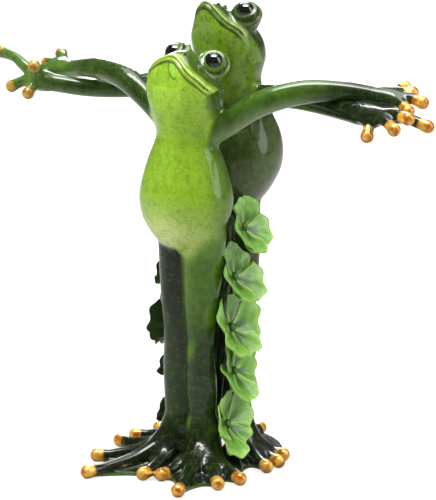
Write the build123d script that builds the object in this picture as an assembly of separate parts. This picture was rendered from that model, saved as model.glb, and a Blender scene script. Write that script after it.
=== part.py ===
from build123d import *
import os
from math import cos, radians, sin

os.makedirs("parts", exist_ok=True)

# All sizes in millimetres. The frogs look towards -Y, their left side is +X, the floor is Z = 0.

# Glue lines and fits
glue_gap = 0.3
dowel_clearance = 0.2
bead_clearance = 0.3

# Bodies: height, forward position, half width and half depth of each torso section
front_torso = [
    (101, -10.0, 7.5, 6.5),
    (106, -10.0, 13.6, 11.6),
    (111, -10.0, 17.4, 15.0),
    (117, -10.0, 20.4, 17.8),
    (125, -10.0, 21.8, 19.1),
    (133, -10.0, 21.2, 18.4),
    (143, -10.0, 18.5, 15.8),
    (153, -10.0, 15.4, 13.2),
    (165, -10.2, 13.6, 12.2),
]
rear_torso = [
    (113, 30.4, 9.0, 9.5),
    (119, 29.8, 14.2, 16.0),
    (126, 29.8, 18.8, 20.4),
    (133, 30.2, 22.4, 22.6),
    (141, 30.6, 23.8, 23.1),
    (149, 30.8, 22.5, 21.7),
    (157, 30.9, 19.2, 18.4),
    (166, 30.4, 15.5, 15.2),
    (174, 30.0, 13.6, 13.4),
]
bodies_meet_y = 8.5
ankle_height = 20.0
ankle_radius = 6.6
ankle_spread = 6.2
front_ankle_y = -6.0
rear_ankle_y = 24.0
front_leg = [(5.9, -7.0, 45, 7.3), (5.8, -7.2, 63, 6.9), (5.8, -7.5, 85, 7.6), (5.8, -8.5, 107, 7.8)]
rear_leg = [(5.9, 26.5, 45, 7.3), (5.8, 29.0, 63, 6.9), (5.8, 32.0, 90, 7.6), (5.8, 32.0, 121, 8.0)]

# Feet: where each toe tip rests, from the inner or front toe round to the outer or back one
front_left_toes = [(1.0, -34.5), (19.0, -50.6), (29.5, -33.5), (34.6, -22.5)]
front_right_toes = [(-6.8, -37.7), (-30.0, -47.6), (-39.6, -24.2), (-42.6, 0.7)]
rear_left_toes = [(36.5, -1.0), (37.5, 8.5), (34.5, 18.5), (5.0, 50.6)]
rear_right_toes = [(-41.0, 12.0), (-37.0, 27.0), (-27.0, 40.0), (-12.0, 50.6)]
toe_bulb = 3.2
toe_root = 4.6
toe_middle = 3.4
toe_neck = 2.3
instep_reach = 11.0
toe_cross = 3.0
toe_cross_y = -24.0
web_thickness = 2.4
web_share = 0.78
web_hollow = 0.72

# Arms: outward, forward and upward path of each arm and its radius there
front_arm_out = [8, 20, 34, 50, 65, 80]
front_arm_y = [-9.0, -7.5, -4.5, 3.0, 11.0, 19.0]
front_left_arm_z = [153.0, 160.0, 168.5, 173.5, 174.8, 172.8]
front_right_arm_z = [154.0, 164.0, 174.4, 177.0, 175.7, 172.6]
front_arm_radius = [6.4, 5.6, 5.7, 5.4, 4.2, 4.0]
rear_arm_out = [8, 22, 36, 50, 65, 78]
rear_arm_y = [31.5, 30.0, 26.0, 20.0, 12.0, 5.0]
rear_left_arm_z = [163.0, 167.0, 168.0, 167.2, 165.9, 165.3]
rear_right_arm_z = [163.0, 168.5, 169.0, 166.8, 166.3, 168.4]
rear_arm_radius = [6.2, 5.6, 5.4, 4.9, 4.1, 4.1]
palm_length = 5.0
palm_width = 6.0
palm_thickness = 3.7
palm_end_width = 4.4
palm_end_thickness = 2.6
wrist_width = 4.7
wrist_thickness = 3.5
finger_root = 2.7
finger_middle = 2.0
finger_bulb = 3.0

# Hands: palm centre and the four finger tips
front_left_palm = (84.0, 21.0, 172.2)
front_left_tips = [(87.0, 31.0, 176.0), (93.0, 26.0, 174.6), (101.0, 19.5, 171.8), (97.3, 13.0, 168.7)]
front_right_palm = (-84.0, 21.0, 172.2)
front_right_tips = [(-92.0, 31.0, 177.6), (-96.0, 25.0, 173.8), (-97.0, 18.0, 171.0), (-94.0, 11.5, 168.0)]
rear_left_palm = (85.0, 2.5, 165.6)
rear_left_tips = [(87.6, -7.0, 160.0), (101.7, -10.0, 164.5), (105.3, -4.0, 168.6), (110.0, 6.0, 164.1)]
rear_right_palm = (-85.0, 2.0, 169.6)
rear_right_tips = [(-110.0, 8.0, 180.3), (-80.5, -9.5, 178.0), (-98.0, -2.0, 166.4), (-85.0, -8.0, 165.0)]

# Heads: mouth hinge point, turn to the frog's right, upward tilt, raise of the frog's right side
front_hinge = (0.0, -7.8, 173.4)
front_turn = -3.0
front_tilt = 42.0
front_lean = 11.5
rear_hinge = (0.0, 24.4, 190.2)
rear_turn = 15.5
rear_tilt = 52.5
rear_lean = -10.5
snout_reach = 22.0
jaw_back = 8.0
mouth_half_width = 13.8
lip_height = 1.8
mouth_slit = 0.5
slit_depth = 0.9
lip_round = 0.75
lip_overhang = 0.5
jaw_inset = 0.7
crown_half_width = 14.0
crown_half_length = 16.0
crown_height = 12.0
front_throat = (0.0, -11.2, 169.5, 14.8, 13.8)
rear_throat = (0.0, 28.2, 182.2, 14.4, 14.2)

# Eyes
lid_out = 10.8
lid_forward = 7.0
lid_up = 11.5
lid_radius = 6.2
brow_base = 6.6
brow_top = 5.5
brow_inset = 0.93
bead_radius = 4.1
bead_offset = 2.9
bead_seat = 1.6
gaze = Vector(0.28, -0.94, -0.12)

# Dowels: radius and half length
neck_dowel = (2.0, 7.0)
shoulder_dowel = (1.6, 6.0)
ankle_dowel = (2.0, 8.0)

# Blossoms and stems
petal_count = 5
petal_base = 1.2
lobe_radius = 4.4
lobe_reach = 8.6
lobe_spread = 3.0
petal_thickness = 1.2
cup_radius = 20.0
petal_twist = 9.0
flower_heart = 2.6
stalk_radius = 1.5
stalk_length = 3.0
flower_out = 17.4
flower_lean = 22.0
flower_y_z = [(17.0, 108.5), (9.0, 87.5), (7.0, 64.5), (11.0, 43.5), (2.0, 20.0)]
flower_spin = [10, 40, 0, 55, 25]
stem_radius = 2.0
stem_path = [
    (11.5, 17.0, 110.0),
    (15.0, 26.4, 98.0),
    (11.5, 9.0, 87.5),
    (15.2, -4.0, 76.0),
    (11.5, 7.0, 64.5),
    (15.0, 22.4, 54.0),
    (11.5, 11.0, 43.5),
    (11.0, 6.5, 31.0),
    (11.5, 2.5, 20.0),
    (11.0, 5.0, 13.5),
]


def across(point, direction, radius):
    """Circle of the given radius square to a direction."""
    direction = Vector(direction).normalized()
    guide = Vector(1, 0, 0) if abs(direction.Z) > 0.9 else Vector(0, 0, 1)
    sideways = guide - direction * guide.dot(direction)
    return Plane(origin=point, x_dir=sideways, z_dir=direction) * Circle(radius)


def limb(points, radii):
    """Tapered limb through the given centre points."""
    points = [Vector(point) for point in points]
    sections = []
    for place, point in enumerate(points):
        before = points[max(place - 1, 0)]
        after = points[min(place + 1, len(points) - 1)]
        sections.append(across(point, after - before, radii[place]))
    return loft(sections)


def torso(sections, grow=0.0):
    """Pear-shaped torso; grow widens it for trimming the arms."""
    rings = []
    for height, forward, half_width, half_depth in sections:
        plane = Plane(origin=(0, forward, height), x_dir=(1, 0, 0), z_dir=(0, 0, 1))
        rings.append(plane * Ellipse(half_width + grow, half_depth + grow))
    return loft(rings)


def dowel(centre, direction, size, clearance=0.0):
    """Straight pin, or with a clearance the bore for it."""
    radius, half_length = size
    direction = Vector(direction).normalized()
    start = Vector(centre) - direction * half_length
    pin_plane = Plane(origin=start, z_dir=direction)
    return extrude(pin_plane * Circle(radius + clearance), 2 * half_length)


def half_space(corner_low, corner_high):
    """Block between two opposite corners."""
    low = Vector(corner_low)
    high = Vector(corner_high)
    size = high - low
    return Pos((low + high) * 0.5) * Box(abs(size.X), abs(size.Y), abs(size.Z))


def body(sections, leg, ankle_y, keep_front):
    """Torso and both legs of one frog, trimmed flat where the two frogs meet."""
    solid = torso(sections)
    for side in (1, -1):
        points = [(side * ankle_spread, ankle_y, ankle_height)]
        points += [(side * x, y, z) for x, y, z, radius in leg]
        radii = [ankle_radius] + [station[3] for station in leg]
        rings = [Pos(point) * Circle(radius) for point, radius in zip(points, radii)]
        solid += loft(rings)
    if keep_front:
        solid -= half_space((-60, bodies_meet_y, 0), (60, 100, 250))
    else:
        solid -= half_space((-60, -100, 0), (60, bodies_meet_y, 250))
    return solid


def web(ankle, tips):
    """Skin between the toes, hollowed along its outer edge."""
    corners = [ankle + (tip - ankle) * web_share for tip in tips]
    rim = [Line(ankle, corners[0])]
    for start, end in zip(corners, corners[1:]):
        hollow = ankle + ((start + end) * 0.5 - ankle) * web_hollow
        rim.append(Bezier(start, hollow, end))
    rim.append(Line(corners[-1], ankle))
    skin = make_face(rim)
    return Pos(0, 0, -1) * extrude(skin, web_thickness + 1, dir=(0, 0, 1))


def foot(side, ankle_y, tips):
    """Webbed foot: flared instep, four ridged toes with bulb tips, skin between them."""
    ankle = Vector(side * ankle_spread, ankle_y, 0)
    rings = [
        Pos(ankle.X, ankle.Y, -1) * Circle(instep_reach),
        Pos(ankle.X, ankle.Y, 4) * Circle(instep_reach - 1.6),
        Pos(ankle.X, ankle.Y, 11) * Circle(ankle_radius + 0.7),
        Pos(ankle.X, ankle.Y, ankle_height) * Circle(ankle_radius),
    ]
    tips = [Vector(x, y, 0) for x, y in tips]
    solid = loft(rings)
    for tip in tips:
        reach = tip - ankle
        centres = [
            ankle + reach * 0.10 + Vector(0, 0, 9.5),
            ankle + reach * 0.42 + Vector(0, 0, 4.6),
            ankle + reach * 0.94 + Vector(0, 0, 2.9),
        ]
        solid += limb(centres, [toe_root, toe_middle, toe_neck])
        solid += Pos(tip.X, tip.Y, toe_bulb - 0.3) * Sphere(toe_bulb)
    solid += web(ankle, tips)
    solid -= half_space((-150, -150, -20), (150, 150, 0))
    own_side = half_space((0, -150, 0), (side * 150, 150, 60))
    own_side += half_space((-side * toe_cross, -150, 0), (side * 150, toe_cross_y, 60))
    return solid & own_side


def palm_pad(wrist, palm):
    """Flattened palm from the wrist to the roots of the fingers."""
    wrist = Vector(wrist)
    palm = Vector(palm)
    along = (palm - wrist).normalized()
    flat = Vector(0, 0, 1).cross(along)
    end = palm + along * palm_length
    places = [wrist, palm, end]
    widths = [wrist_width, palm_width, palm_end_width]
    depths = [wrist_thickness, palm_thickness, palm_end_thickness]
    sections = []
    for place, width, depth in zip(places, widths, depths):
        sections.append(Plane(origin=place, x_dir=flat, z_dir=along) * Ellipse(width, depth))
    return loft(sections)


def arm(side, out, forward, up, radii, palm, tips, trims):
    """Arm with a flat palm and four bulb-tipped fingers, trimmed to sit on the shoulder."""
    path = [(side * x, y, z) for x, y, z in zip(out, forward, up)]
    solid = limb(path + [palm], radii + [palm_thickness - 0.6])
    solid += palm_pad(path[-1], palm)
    palm = Vector(palm)
    for tip in tips:
        tip = Vector(tip)
        reach = tip - palm
        arch = Vector(0, 0, 0.8)
        centres = [palm + reach * 0.2, palm + reach * 0.62 + arch, tip - reach * 0.04]
        solid += limb(centres, [finger_root, finger_middle, finger_middle])
        solid += Pos(tip) * Sphere(finger_bulb)
    for trim in trims:
        solid -= trim
    return max(solid.solids(), key=lambda piece: piece.volume)


def head_plane(hinge, turn, tilt, lean):
    """Mouth plane of a head: X to the frog's left, Y backwards, Z to the crown."""
    turn, tilt, lean = radians(turn), radians(tilt), radians(lean)
    level = Vector(cos(turn), -sin(turn), 0)
    crown = Vector(sin(turn) * sin(tilt), cos(turn) * sin(tilt), cos(tilt))
    x_axis = level * cos(lean) - crown * sin(lean)
    z_axis = level * sin(lean) + crown * cos(lean)
    return Plane(origin=hinge, x_dir=x_axis, z_dir=z_axis)


def lid_centre(side):
    """Middle of one eyelid ball in the mouth plane's frame."""
    return Vector(side * lid_out, -lid_forward, lid_up)


def bead_direction(side):
    """Direction in which one eye looks, in the mouth plane's frame."""
    return Vector(side * gaze.X, gaze.Y, gaze.Z).normalized()


def bead(side, grow=0.0):
    """Eye bead with a flat back; grow makes the socket for it."""
    direction = bead_direction(side)
    centre = lid_centre(side) + direction * bead_offset
    ball = Pos(centre) * Sphere(bead_radius + grow)
    behind = Plane(origin=centre - direction * bead_seat, z_dir=-direction)
    return ball - extrude(behind * Circle(4 * bead_radius), 4 * bead_radius)


def mouth_outline(grow):
    """Outline of the jaw seen square to the mouth."""
    middle = (jaw_back - snout_reach) / 2
    half_length = (jaw_back + snout_reach) / 2
    return Pos(0, middle, 0) * Ellipse(half_length + grow, mouth_half_width + grow, rotation=90)


def lip(bottom, grow):
    """One rounded lip band all round the jaw."""
    band = extrude(Pos(0, 0, bottom) * mouth_outline(grow), lip_height)
    return fillet(band.edges(), lip_round)


def throat_loft(pose, neck, throat, grow=0.0):
    """Throat from the neck joint up to the lower lip; grow widens it for trimming the arms."""
    hinge, turn, tilt, lean = pose
    height, forward, half_width, half_depth = neck
    neck_plane = Plane(origin=(0, forward, height), x_dir=(1, 0, 0), z_dir=(0, 0, 1))
    middle = head_plane(throat[:3], turn / 2, tilt / 2, lean / 2)
    jaw = head_plane(*pose) * Pos(0, 0, -lip_height / 2) * mouth_outline(grow - jaw_inset)
    sections = [
        neck_plane * Ellipse(half_depth + grow, half_width + grow, rotation=90),
        middle * Ellipse(throat[4] + grow, throat[3] + grow, rotation=90),
        jaw,
    ]
    return loft(sections)


def head(pose, neck, throat):
    """Throat, two lip bands, crown and eyelids with sockets for the beads."""
    upper = lip(-lip_height, 0.0)
    upper += extrude(Pos(0, 0, -lip_height / 2) * mouth_outline(-slit_depth), lip_height + mouth_slit)
    upper += lip(mouth_slit, lip_overhang)
    crown_middle = Pos(0, crown_half_length - snout_reach, mouth_slit + lip_height / 2)
    dome = scale(Sphere(1), (crown_half_width, crown_half_length, crown_height))
    dome -= half_space((-40, -40, -40), (40, 40, 0))
    upper += crown_middle * dome
    for side in (1, -1):
        centre = lid_centre(side)
        upper += Pos(centre) * Sphere(lid_radius)
        brow = Cone(brow_base, brow_top, centre.Z - lip_height)
        upper += Pos(centre.X * brow_inset, centre.Y, (centre.Z + lip_height) / 2) * brow
    for side in (1, -1):
        upper -= bead(side, bead_clearance)
    return throat_loft(pose, neck, throat) + head_plane(*pose) * upper


def eye(side, pose):
    """One black eye bead in place."""
    return head_plane(*pose) * bead(side)


def petal():
    """Cupped petal with two lobes, pointing along X from the flower's middle."""
    outline = Sketch()
    for side in (1, -1):
        base = Circle(petal_base)
        lobe = Pos(lobe_reach, side * lobe_spread) * Circle(lobe_radius)
        outline += make_hull([*base.edges(), *lobe.edges()])
    prism = extrude(Pos(0, 0, -1) * outline, cup_radius / 2)
    shell = Pos(0, 0, cup_radius) * (Sphere(cup_radius) - Sphere(cup_radius - petal_thickness))
    return Rot(petal_twist, 0, 0) * (prism & shell)


def flower():
    """Five-petalled blossom opening along Z, with a short stalk behind it."""
    solid = extrude(Pos(0, 0, -stalk_length) * Circle(stalk_radius), stalk_length + 1)
    solid += Pos(0, 0, 1.2) * Sphere(flower_heart)
    leaf = petal()
    for place in range(petal_count):
        solid += Rot(0, 0, place * 360 / petal_count) * leaf
    return solid


def flower_place(side, number):
    """Where one blossom of a string sits and how far it is spun."""
    forward, height = flower_y_z[number]
    lean = radians(flower_lean)
    axis = Vector(side * cos(lean), 0, sin(lean))
    plane = Plane(origin=(side * flower_out, forward, height), x_dir=(0, 1, 0), z_dir=axis)
    return plane.location * Rot(0, 0, side * flower_spin[number])


def stem(side):
    """Winding stem that carries one string of blossoms."""
    points = [(side * x, y, z) for x, y, z in stem_path]
    path = Spline(points)
    start = Plane(origin=path @ 0, z_dir=path % 0)
    return sweep(start * Circle(stem_radius), path=path)


def pinned(part, pins):
    """Part with the bores for its dowels."""
    for centre, direction, size in pins:
        part -= dowel(centre, direction, size, dowel_clearance)
    return part


def shoulder_pin(side, out, forward, up):
    """Place of one shoulder dowel, along the arm where it leaves the torso."""
    inner = Vector(side * out[0], forward[0], up[0])
    outer = Vector(side * out[1], forward[1], up[1])
    return (inner + (outer - inner) * 0.55, outer - inner, shoulder_dowel)


def save(shape, name):
    """Write one solid to its own file."""
    export_step(shape, "parts/" + name + ".step")


def frog(name, sections, leg, ankle_y, keep_front, toes, arms, head_pose, throat):
    """All castings, beads and dowels of one frog."""
    neck = sections[-1]
    neck_pin = ((0, neck[1], neck[0]), (0, 0, 1), neck_dowel)
    trunk = pinned(body(sections, leg, ankle_y, keep_front), [neck_pin])
    save(dowel(*neck_pin), name + "_neck_dowel")
    skull = head(head_pose, neck, throat)
    save(pinned(skull, [neck_pin]), name + "_head")
    trims = [torso(sections, glue_gap), throat_loft(head_pose, neck, throat, glue_gap)]
    for side, word in ((1, "left"), (-1, "right")):
        ankle_pin = ((side * ankle_spread, ankle_y, ankle_height), (0, 0, 1), ankle_dowel)
        out, forward, up, radii, palm, tips = arms[word]
        arm_pin = shoulder_pin(side, out, forward, up)
        trunk = pinned(trunk, [ankle_pin, arm_pin])
        limb_solid = arm(side, out, forward, up, radii, palm, tips, trims)
        save(pinned(limb_solid, [arm_pin]), name + "_" + word + "_arm")
        save(pinned(foot(side, ankle_y, toes[word]), [ankle_pin]), name + "_" + word + "_foot")
        save(dowel(*arm_pin), name + "_" + word + "_shoulder_dowel")
        save(dowel(*ankle_pin), name + "_" + word + "_ankle_dowel")
        save(eye(side, head_pose), name + "_" + word + "_eye")
    save(trunk, name + "_body")


front_left = (front_arm_out, front_arm_y, front_left_arm_z, front_arm_radius, front_left_palm, front_left_tips)
front_right = (
    front_arm_out, front_arm_y, front_right_arm_z, front_arm_radius, front_right_palm, front_right_tips
)
rear_left = (rear_arm_out, rear_arm_y, rear_left_arm_z, rear_arm_radius, rear_left_palm, rear_left_tips)
rear_right = (rear_arm_out, rear_arm_y, rear_right_arm_z, rear_arm_radius, rear_right_palm, rear_right_tips)

frog(
    "front", front_torso, front_leg, front_ankle_y, True,
    {"left": front_left_toes, "right": front_right_toes},
    {"left": front_left, "right": front_right},
    (front_hinge, front_turn, front_tilt, front_lean), front_throat,
)
frog(
    "rear", rear_torso, rear_leg, rear_ankle_y, False,
    {"left": rear_left_toes, "right": rear_right_toes},
    {"left": rear_left, "right": rear_right},
    (rear_hinge, rear_turn, rear_tilt, rear_lean), rear_throat,
)

blossom = flower()
for side, word in ((1, "left"), (-1, "right")):
    save(stem(side), word + "_stem")
    for number in range(len(flower_y_z)):
        save(flower_place(side, number) * blossom, word + "_flower_" + str(number + 1))
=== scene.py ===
import math

import bpy
import numpy as np
from mathutils import Matrix, Vector


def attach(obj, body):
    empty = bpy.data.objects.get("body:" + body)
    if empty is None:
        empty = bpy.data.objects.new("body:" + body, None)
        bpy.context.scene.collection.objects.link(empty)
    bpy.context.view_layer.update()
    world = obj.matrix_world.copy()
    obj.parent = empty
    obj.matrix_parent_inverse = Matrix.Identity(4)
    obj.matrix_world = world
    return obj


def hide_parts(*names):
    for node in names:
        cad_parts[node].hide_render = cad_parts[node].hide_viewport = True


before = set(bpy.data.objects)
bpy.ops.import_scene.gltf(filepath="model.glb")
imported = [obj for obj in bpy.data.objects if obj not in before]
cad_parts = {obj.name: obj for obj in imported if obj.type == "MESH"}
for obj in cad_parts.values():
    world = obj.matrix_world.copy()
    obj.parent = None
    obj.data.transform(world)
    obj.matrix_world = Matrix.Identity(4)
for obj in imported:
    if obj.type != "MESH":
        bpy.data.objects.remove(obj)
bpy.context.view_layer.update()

mm = 0.001
clayStep = 0.55   # size of the modelling grid, in mm
emptyClay = 30   # distance to any form in an untouched grid, in mm
corners = [(i, j, k) for i in (0, 1) for j in (0, 1) for k in (0, 1)]   # of a cell of the grid


# camera and studio

camera = {"place": (0.55, -0.9526, 0.35), "aim": (0.00807, 0.00442, 0.09912), "lens": 180.03}
studio = {
    "floor": (150, 150, 149), "lift": 0.74,   # a lit paper: the lift is seen by the camera, not by the lacquer
    "ambient": 0.74, "mirrored": 0.09,   # what the room gives as light, and what the lacquer mirrors of it
    "half": 4.0,   # the floor's half width, in metres
    "lamps": [  # name, place, aim, width, height, power, what it gives
        ("overheadBox", (0, 0.3, 1.9), (0, 0, 0), 1.9, 1.7, 34, "all"),
        ("keyBox", (-0.95, -0.75, 0.95), (0, 0, 0.13), 1.1, 1.3, 19, "light"),   # leaves no glare on the throat
        ("sideBox", (0.95, 0.25, 0.62), (0, 0, 0.13), 0.6, 1.2, 5.5, "all"),
        ("backBox", (-0.55, 0.9, 0.6), (0, 0, 0.14), 0.5, 0.6, 5, "all"),
        ("glossBox", (0.05, -0.1, 1.7), (0, 0, 0.15), 1.3, 0.6, 34, "gloss"),   # only mirrored, a streak along the arms
    ],
}


def tint(r, g, b):
    def toLinear(c):
        c = c / 255
        return c / 12.92 if c <= 0.04045 else ((c + 0.055) / 1.055) ** 2.4
    return (toLinear(r), toLinear(g), toLinear(b), 1)


def makeCamera(c):
    data = bpy.data.cameras.new("photoCamera")
    data.lens = c["lens"]
    data.sensor_width = 36
    data.clip_start = 0.05
    obj = bpy.data.objects.new("photoCamera", data)
    obj.location = c["place"]
    obj.rotation_euler = (Vector(c["aim"]) - Vector(c["place"])).to_track_quat("-Z", "Y").to_euler()
    bpy.context.scene.collection.objects.link(obj)
    bpy.context.scene.camera = obj


def makeStudio(s):
    world = bpy.data.worlds.new("studioWorld")
    bpy.context.scene.world = world
    world.use_nodes = True
    tree = world.node_tree
    background = tree.nodes["Background"]
    background.inputs["Color"].default_value = (1, 1, 1, 1)
    rays = tree.nodes.new("ShaderNodeLightPath")
    level = tree.nodes.new("ShaderNodeMapRange")
    level.inputs["To Min"].default_value = s["ambient"]
    level.inputs["To Max"].default_value = s["mirrored"]
    tree.links.new(rays.outputs["Is Glossy Ray"], level.inputs["Value"])
    tree.links.new(level.outputs["Result"], background.inputs["Strength"])
    bpy.context.scene.view_settings.view_transform = "Standard"
    for name, place, aim, width, height, power, gives in s["lamps"]:
        lamp = bpy.data.lights.new(name, "AREA")
        lamp.shape = "ELLIPSE"
        lamp.size, lamp.size_y = width, height
        lamp.energy = power
        obj = bpy.data.objects.new(name, lamp)
        obj.location = place
        obj.rotation_euler = (Vector(aim) - Vector(place)).to_track_quat("-Z", "Y").to_euler()
        obj.visible_glossy = gives != "light"
        obj.visible_diffuse = gives != "gloss"
        bpy.context.scene.collection.objects.link(obj)
    half = s["half"]
    mesh = bpy.data.meshes.new("studioFloor")
    mesh.from_pydata([(-half, -half, 0), (half, -half, 0), (half, half, 0), (-half, half, 0)], [], [(0, 1, 2, 3)])
    floor = bpy.data.objects.new("studioFloor", mesh)
    bpy.context.scene.collection.objects.link(floor)
    paper = bpy.data.materials.new("palePaper")
    paper.use_nodes = True
    shader = paper.node_tree.nodes["Principled BSDF"]
    shader.inputs["Base Color"].default_value = tint(*s["floor"])
    shader.inputs["Roughness"].default_value = 0.9
    shader.inputs["Emission Color"].default_value = (1, 1, 1, 1)
    rays = paper.node_tree.nodes.new("ShaderNodeLightPath")
    lift = paper.node_tree.nodes.new("ShaderNodeMapRange")
    lift.inputs["To Max"].default_value = s["lift"]
    paper.node_tree.links.new(rays.outputs["Is Camera Ray"], lift.inputs["Value"])
    paper.node_tree.links.new(lift.outputs["Result"], shader.inputs["Emission Strength"])
    mesh.materials.append(paper)


makeCamera(camera)
makeStudio(studio)
print("camera and studio ready")


# clay modelling on a grid: every form is a distance field, pressed softly into the others

def curveThrough(points, perSpan):
    p = np.asarray(points, float)
    p = np.vstack([2 * p[0] - p[1], p, 2 * p[-1] - p[-2]])
    t = np.linspace(0, 1, perSpan, endpoint=False)[:, None]
    rows = []
    for a, b, c, d in zip(p, p[1:], p[2:], p[3:]):
        rows.append(b + 0.5 * t * (c - a + t * (2 * a - 5 * b + 4 * c - d + t * (3 * (b - c) + d - a))))
    return np.vstack(rows + [p[-2:-1]])


def newClay(low, high):
    axes = [np.arange(a, b + clayStep, clayStep, dtype=np.float32) for a, b in zip(low, high)]
    return {"axes": axes, "field": np.full([len(a) for a in axes], emptyClay, np.float32)}


def window(clay, low, high):
    cuts = []
    for axis, a, b in zip(clay["axes"], low, high):
        i, j = np.searchsorted(axis, (a, b))
        cuts.append(slice(i, max(i, j)))
    x, y, z = (axis[cut] for axis, cut in zip(clay["axes"], cuts))
    return tuple(cuts), x[:, None, None], y[None, :, None], z[None, None, :]


def press(clay, cuts, form, soft):
    old = clay["field"][cuts]
    near = np.maximum(soft - np.abs(old - form), 0) / soft
    clay["field"][cuts] = np.minimum(old, form) - near * near * soft / 4


def melt(a, b, soft):
    near = np.maximum(soft - np.abs(a - b), 0) / soft
    return np.minimum(a, b) - near * near * soft / 4


def carve(clay, cuts, form):
    clay["field"][cuts] = np.maximum(clay["field"][cuts], -form)


def ballForm(u, v, w, radii):
    a, b, c = radii
    k0 = np.sqrt((u / a) ** 2 + (v / b) ** 2 + (w / c) ** 2)
    k1 = np.sqrt((u / (a * a)) ** 2 + (v / (b * b)) ** 2 + (w / (c * c)) ** 2) + 1e-6
    return k0 * (k0 - 1) / k1


def limbForm(clay, points, reach, perSpan=7):
    path = curveThrough(points, perSpan)
    low = path[:, :3].min(0) - path[:, 3].max() - reach
    high = path[:, :3].max(0) + path[:, 3].max() + reach
    cuts, x, y, z = window(clay, low, high)
    own = {"axes": [x.ravel(), y.ravel(), z.ravel()],
           "field": np.full((x.size, y.size, z.size), emptyClay, np.float32)}
    for a, b in zip(path, path[1:]):
        thick = max(a[3], b[3]) + reach
        part, px, py, pz = window(own, np.minimum(a, b)[:3] - thick, np.maximum(a, b)[:3] + thick)
        d = (b - a)[:3]
        t = ((px - a[0]) * d[0] + (py - a[1]) * d[1] + (pz - a[2]) * d[2]) / max(d @ d, 1e-9)
        t = np.clip(t, 0, 1)
        gap = np.sqrt((px - a[0] - t * d[0]) ** 2 + (py - a[1] - t * d[1]) ** 2 + (pz - a[2] - t * d[2]) ** 2)
        own["field"][part] = np.minimum(own["field"][part], gap - a[3] - t * (b[3] - a[3]))
    return cuts, own["field"]


def addLimb(clay, points, soft, perSpan=7):
    cuts, form = limbForm(clay, points, soft + 3, perSpan)
    press(clay, cuts, form, soft)


def addTorso(clay, stations, soft):
    rows = curveThrough(stations, 8)
    rows = rows[np.argsort(rows[:, 0])]
    reach = rows[:, 2:].max() + soft + 3
    middle = rows[:, 1].mean()
    low = (-reach, middle - reach, rows[0, 0] - soft - 3)
    high = (reach, middle + reach, rows[-1, 0] + soft + 3)
    cuts, x, y, z = window(clay, low, high)
    level = z.ravel()
    yc, rx, ry = (np.interp(level, rows[:, 0], rows[:, i])[None, None, :] for i in (1, 2, 3))
    slope = np.gradient(np.sqrt(rx * ry).ravel(), level)[None, None, :]
    v = y - yc
    k0 = np.sqrt((x / rx) ** 2 + (v / ry) ** 2)
    k1 = np.sqrt((x / rx ** 2) ** 2 + (v / ry ** 2) ** 2) + 1e-6
    form = k0 * (k0 - 1) / k1 / np.sqrt(1 + np.minimum(slope ** 2, 9))
    form = np.maximum(form, np.maximum(rows[0, 0] - z, z - rows[-1, 0]))
    press(clay, cuts, form, soft)


def skinOf(clay):
    # surface net: one point in each cell that the surface passes, quads across each crossed edge
    f = clay["field"]
    inside = f < 0
    count = np.zeros([n - 1 for n in f.shape], np.uint8)
    ends = [(0, -1), (1, None)]
    for i, j, k in corners:
        count += inside[slice(*ends[i]), slice(*ends[j]), slice(*ends[k])]
    cells = (count > 0) & (count < 8)
    index = np.full(cells.shape, -1, np.int32)
    ijk = np.argwhere(cells)
    index[cells] = np.arange(len(ijk))
    total = np.zeros((len(ijk), 3))
    hits = np.zeros(len(ijk))
    for a in corners:
        for axis in range(3):
            if a[axis]:
                continue
            b = tuple(1 if n == axis else a[n] for n in range(3))
            fa = f[ijk[:, 0] + a[0], ijk[:, 1] + a[1], ijk[:, 2] + a[2]]
            fb = f[ijk[:, 0] + b[0], ijk[:, 1] + b[1], ijk[:, 2] + b[2]]
            crossed = (fa < 0) != (fb < 0)
            t = np.where(crossed, fa / np.where(crossed, fa - fb, 1), 0)
            spot = np.array(a, float)[None, :] + t[:, None] * (np.array(b) - np.array(a))[None, :]
            total += np.where(crossed[:, None], spot, 0)
            hits += crossed
    origin = np.array([axis[0] for axis in clay["axes"]])
    points = (ijk + total / hits[:, None]) * clayStep + origin
    quads = []
    for axis in range(3):
        u, v = (axis + 1) % 3, (axis + 2) % 3
        first = [slice(1, -1)] * 3
        second = [slice(1, -1)] * 3
        first[axis], second[axis] = slice(0, -1), slice(1, None)
        sa, sb = inside[tuple(first)], inside[tuple(second)]
        at = np.argwhere(sa != sb)
        outward = sa[tuple(at.T)]
        at[:, u] += 1
        at[:, v] += 1

        def cellAt(du, dv):
            c = at.copy()
            c[:, u] -= du
            c[:, v] -= dv
            return index[c[:, 0], c[:, 1], c[:, 2]]
        ring = np.stack([cellAt(1, 1), cellAt(0, 1), cellAt(0, 0), cellAt(1, 0)], 1)
        ring[~outward] = ring[~outward][:, ::-1]
        quads.append(ring)
    return points, np.vstack(quads)


def settle(clay, points, quads, rounds):
    # evens the net out, then lets each point fall back on to the surface
    a = np.concatenate([quads[:, i] for i in range(4)])
    b = np.concatenate([quads[:, (i + 1) % 4] for i in range(4)])
    size = len(points)
    n = np.bincount(a, minlength=size) + np.bincount(b, minlength=size)
    keep, fall = 0.4, 0.3   # share of the old place, longest fall in mm
    for _ in range(rounds):
        total = np.zeros_like(points)
        for axis in range(3):
            total[:, axis] = np.bincount(a, points[b, axis], size) + np.bincount(b, points[a, axis], size)
        points = keep * points + (1 - keep) * total / np.maximum(n, 1)[:, None]
        value, slope = sample(clay, points)
        points = points - np.clip(value, -fall, fall)[:, None] * slope
    return points


def valueAt(field, origin, points):
    g = (points - origin) / clayStep
    i = np.clip(np.floor(g).astype(int), 0, np.array(field.shape) - 2)
    t = g - i
    out = np.zeros(len(points))
    for a, b, c in corners:
        weight = (t[:, 0] if a else 1 - t[:, 0]) * (t[:, 1] if b else 1 - t[:, 1])
        weight = weight * (t[:, 2] if c else 1 - t[:, 2])
        out += weight * field[i[:, 0] + a, i[:, 1] + b, i[:, 2] + c]
    return out


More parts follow.
